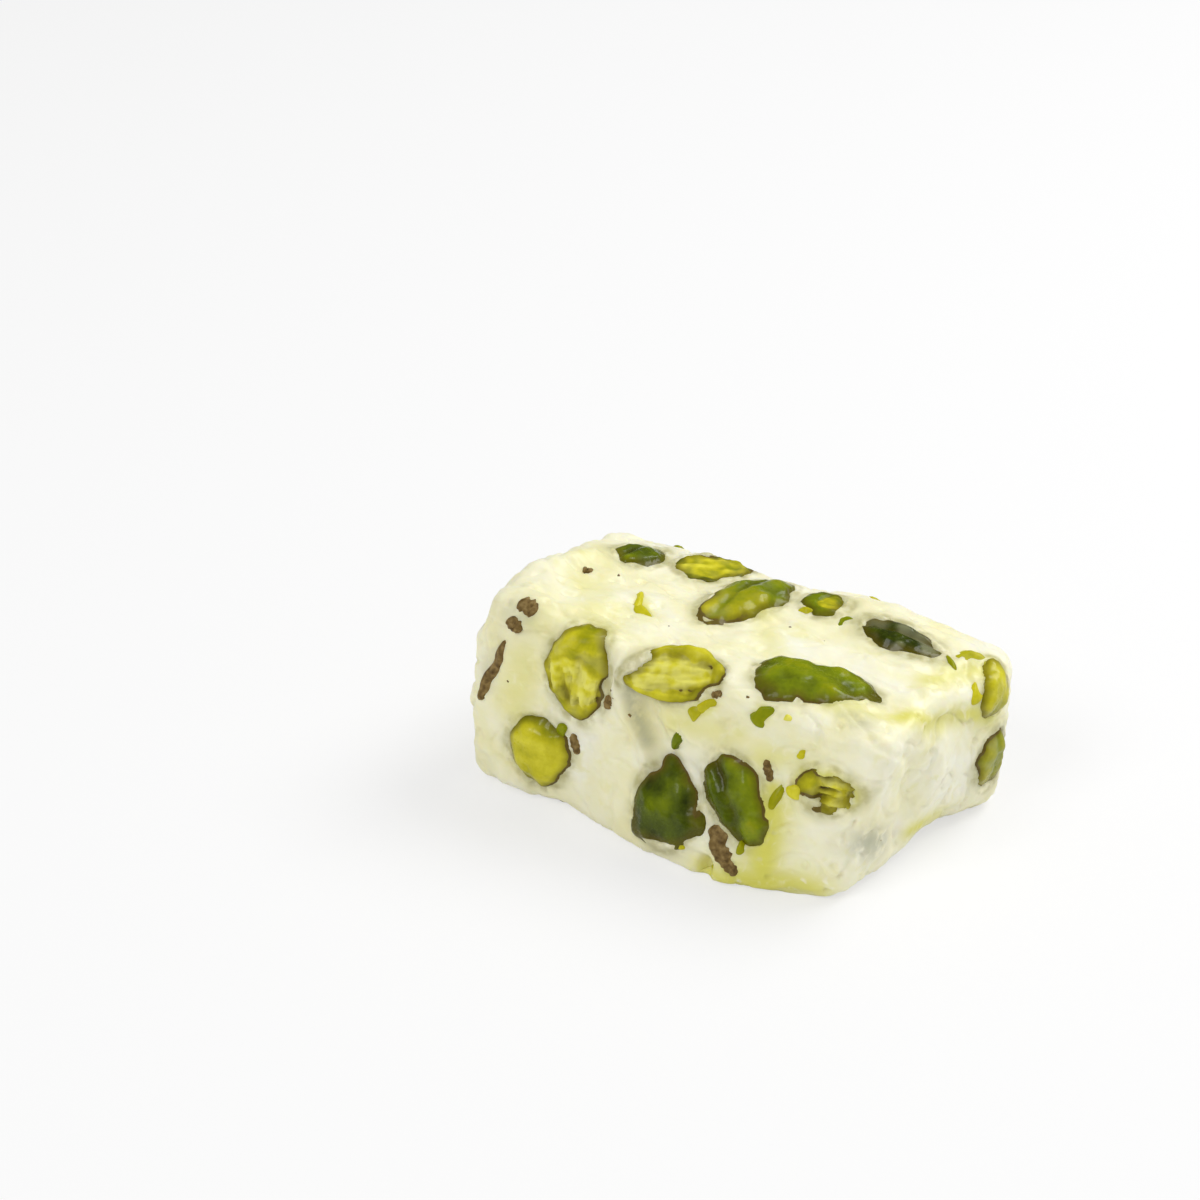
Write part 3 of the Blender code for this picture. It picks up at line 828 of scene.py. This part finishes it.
# Skin: places in the box that its middle line runs through, and its width in mm.
FLAKES = (
    (((0.118, 0.19, 0.94), (0.165, 0.16, 0.98)), 2.5),
    (((0.110, 0.14, 0.91), (0.140, 0.13, 0.86)), 2.1),
    (((0.105, 0.12, 0.80), (0.085, 0.10, 0.68), (0.066, 0.09, 0.55), (0.056, 0.08, 0.46)), 1.7),
    (((0.625, 0.03, 0.28), (0.650, 0.02, 0.18), (0.668, 0.02, 0.12)), 3.0),
    (((0.650, 0.02, 0.15), (0.690, 0.02, 0.08)), 2.2),
    (((0.145, 0.48, 0.97), (0.165, 0.50, 0.97)), 1.0),
    (((0.705, 0.14, 0.62), (0.720, 0.13, 0.52)), 1.2),
    (((0.355, 0.13, 0.70), (0.350, 0.12, 0.62)), 1.2),
    (((0.275, 0.10, 0.44), (0.290, 0.09, 0.34)), 1.4),
    (((0.570, 0.17, 0.83), (0.590, 0.18, 0.85)), 1.0),
    (((0.775, 0.12, 0.58), (0.800, 0.12, 0.54)), 1.0),
    (((0.180, 0.97, 0.60), (0.240, 0.98, 0.52), (0.300, 0.98, 0.50)), 1.6),
    (((0.560, 0.98, 0.60), (0.600, 0.98, 0.50)), 1.8),
    (((0.780, 0.98, 0.30), (0.800, 0.98, 0.44)), 1.3),
    (((0.010, 0.40, 0.60), (0.010, 0.46, 0.48)), 1.7),
    (((0.010, 0.70, 0.34), (0.010, 0.62, 0.30)), 1.2),
)
# Specks: places in the box.
SPECKS = (
    (0.58, 0.62, 0.88),
    (0.66, 0.62, 0.87),
    (0.21, 0.53, 0.93),
    (0.39, 0.38, 0.91),
    (0.64, 0.20, 0.85),
    (0.37, 0.13, 0.70),
    (0.40, 0.12, 0.62),
    (0.62, 0.06, 0.36),
    (0.92, 0.29, 0.24),
    (0.12, 0.10, 0.60),
)
SCATTERED_CRUMBS = 34
SCATTERED_SPECKS = 14


def make_crumbs(tree, material):
    """Broken bits of kernel in the mass: those that show, and more on the other sides."""
    rng = random.Random(SEED)
    forms = [crumb_form(rng) for _ in range(5)]
    rows = list(CRUMBS)
    for _ in range(SCATTERED_CRUMBS):
        size = rng.uniform(0.9, 2.8)
        turn, ripe = rng.uniform(0, 180), rng.uniform(0.25, 0.8)
        rows.append((anywhere(rng, ("back", "left", "back", "left", "base")), size, size * 0.6, size * 0.4, turn, ripe))
    made = []
    for index, (fractions, length, width, thick, turn, ripe) in enumerate(rows):
        place, way = on_bar(tree, fractions)
        size = Matrix.Diagonal((length * MM * 1.6, width * MM * 1.6, thick * MM * 2.1, 1))
        crumb = place_copy(forms[index % len(forms)], seat(place, way, turn, thick * 0.55 * MM) @ size)
        add_mask(crumb.data, "ripe", np.full(len(crumb.data.vertices), ripe))
        made.append(crumb)
    for form in forms:
        bpy.data.objects.remove(form)
    return dress(join_as("pistachio_crumbs", made), material)


FLAKE_LENGTHWISE = 30
FLAKE_ACROSS = 10


def make_flake(tree, path, width, order):
    """One scrap of skin: a ragged sheet laid along a path, thick in its middle, thin at its rim."""
    bpy.ops.object.select_all(action="DESELECT")
    bpy.ops.mesh.primitive_grid_add(x_subdivisions=FLAKE_LENGTHWISE, y_subdivisions=FLAKE_ACROSS, size=2)
    flake = bpy.context.object
    apply_modifier(flake, "SOLIDIFY", thickness=0.5, offset=0.0)
    flat, _ = points_of(flake.data)
    stops = [on_bar(tree, fractions) for fractions in path]
    places = [place for place, _ in stops]
    laid = []
    for x, y, z in flat:
        t = (x * 0.5 + 0.5) * (len(places) - 1)
        step = min(int(t), len(places) - 2)
        along = places[step + 1] - places[step]
        middle = places[step] + along * (t - step)
        way = stops[step][1].lerp(stops[step + 1][1], t - step).normalized()
        side = way.cross(along).normalized()
        end = math.sqrt(max(0.0, 1 - x**4))
        ragged = 1 + 0.5 * noise.noise(Vector((x * 3, math.copysign(1, y) * 5, order * 4)))
        target = middle + side * (y * 0.5 * width * MM * end * ragged)
        spot, normal, _, _ = tree.find_nearest(target)
        wrinkle = noise.noise(Vector((x * 4, y * 1.5, order * 9)))
        rim = (1 - abs(y) ** 3) * end
        rise = (0.26 + 0.30 * wrinkle) * rim - 0.12 * (1 - rim) + z * 0.5
        laid.append(spot + normal * (rise * MM))
    set_points(flake.data, np.array(laid))
    apply_modifier(flake, "SMOOTH", factor=0.5, iterations=3)
    return flake


def make_flakes(tree, material):
    """Scraps of brown skin pressed into the mass."""
    made = [make_flake(tree, path, width, order) for order, (path, width) in enumerate(FLAKES)]
    return dress(join_as("skin_flakes", made), material)


def make_specks(tree, material):
    """Tiny dark specks in the mass."""
    rng = random.Random(SEED + 2)
    form = crumb_form(rng)
    rows = list(SPECKS)
    rows += [anywhere(rng, ("back", "left", "top", "front")) for _ in range(SCATTERED_SPECKS)]
    made = []
    for fractions in rows:
        place, way = on_bar(tree, fractions)
        size = rng.uniform(0.35, 0.75) * MM
        shape = Matrix.Diagonal((size, size * 0.7, size * 0.6, 1))
        made.append(place_copy(form, seat(place, way, rng.uniform(0, 180), 0.05 * MM) @ shape))
    bpy.data.objects.remove(form)
    return dress(join_as("dark_specks", made), material)


# ---------------------------------------------------------------- camera, lamps, floor


def view_axes():
    """The camera's right, up and backward ways."""
    turn, rise = math.radians(CAMERA_AZIMUTH), math.radians(CAMERA_RISE)
    back = Vector((math.sin(turn) * math.cos(rise), -math.cos(turn) * math.cos(rise), math.sin(rise)))
    right = Vector((math.cos(turn), math.sin(turn), 0))
    return right, back.cross(right), back


def add_camera(middle):
    right, up, back = view_axes()
    camera = bpy.data.objects.new("camera", bpy.data.cameras.new("camera"))
    bpy.context.scene.collection.objects.link(camera)
    camera.data.lens = CAMERA_LENS
    camera.data.clip_start = 0.01
    camera.matrix_world = Matrix.Translation(
        middle + right * AIM_RIGHT + up * AIM_UP + back * CAMERA_DISTANCE
    ) @ Matrix((right, up, back)).transposed().to_4x4()
    bpy.context.scene.camera = camera


def add_lamp(name, middle, way, distance, size, power):
    """A soft square lamp that faces the bar."""
    data = bpy.data.lights.new(name, "AREA")
    data.shape = "SQUARE"
    data.size = size
    data.energy = power
    lamp = bpy.data.objects.new(name, data)
    bpy.context.scene.collection.objects.link(lamp)
    lamp.location = middle + way.normalized() * distance
    lamp.rotation_euler = way.to_track_quat("Z", "Y").to_euler()


def add_studio(middle):
    """Soft light from above and the far right, a pale floor, and even light all round."""
    right, up, back = view_axes()
    flat_back = Vector((back.x, back.y, 0)).normalized()
    add_lamp("key", middle, right * 0.75 - flat_back * 0.35 + UP * 1.0, 0.7, 0.40, 2.95)
    add_lamp("front", middle, right * -0.75 + flat_back * 0.75 + UP * 1.05, 0.9, 0.35, 2.2)
    world = bpy.data.worlds.new("studio")
    bpy.context.scene.world = world
    world.use_nodes = True
    n = Nodes(world.node_tree)
    backdrop = world.node_tree.nodes["Background"]
    backdrop.inputs["Color"].default_value = (1, 1, 1, 1)
    glossy = n.add("LightPath").outputs["Is Glossy Ray"]
    n.join(n.math("SUBTRACT", FILL_LIGHT, n.math("MULTIPLY", glossy, FILL_LIGHT - FILL_SHINE)), backdrop.inputs["Strength"])
    bpy.ops.object.select_all(action="DESELECT")
    bpy.ops.mesh.primitive_plane_add(size=6, location=(middle.x, middle.y, LOWEST - FLOOR_GAP))
    floor = bpy.context.object
    floor.name = "floor"
    material, n, shader = new_material("pale floor")
    shader.inputs["Base Color"].default_value = (0.9, 0.9, 0.9, 1)
    shader.inputs["Roughness"].default_value = 0.9
    glow = n.add("Emission")
    glow.inputs["Strength"].default_value = 1.0
    mix = n.add("MixShader")
    rays = n.add("LightPath")
    n.join(n.math("MULTIPLY", rays.outputs["Is Camera Ray"], 0.6), mix.inputs["Fac"])
    n.join(shader.outputs[0], mix.inputs[1])
    n.join(glow.outputs[0], mix.inputs[2])
    n.join(mix.outputs[0], material.node_tree.nodes["Material Output"].inputs["Surface"])
    floor.data.materials.append(material)


def main():
    bpy.context.scene.view_settings.view_transform = "Standard"
    middle = (Vector(CAD_LOW) + Vector(CAD_HIGH)) / 2
    add_camera(middle)
    add_studio(middle)
    group = pistachio_group()
    materials = {
        "kernel_green": pistachio_material("kernel green", group, 0.0, 0.24, 0.26, 0.20),
        "kernel_olive": pistachio_material("kernel olive", group, 0.06, 0.26, 0.30, 0.24),
        "kernel_cut": pistachio_material("kernel cut", group, 0.10, 0.24, 0.34, 0.05),
    }
    skin = skin_material()
    nougat = make_nougat(nougat_material())
    kernels = [make_kernel(node, order, materials) for order, node in enumerate(KERNEL_NODES)]
    tree = shade_rims(kernels, nougat)
    make_crumbs(tree, materials["kernel_cut"])
    make_flakes(tree, skin)
    make_specks(tree, skin)


main()
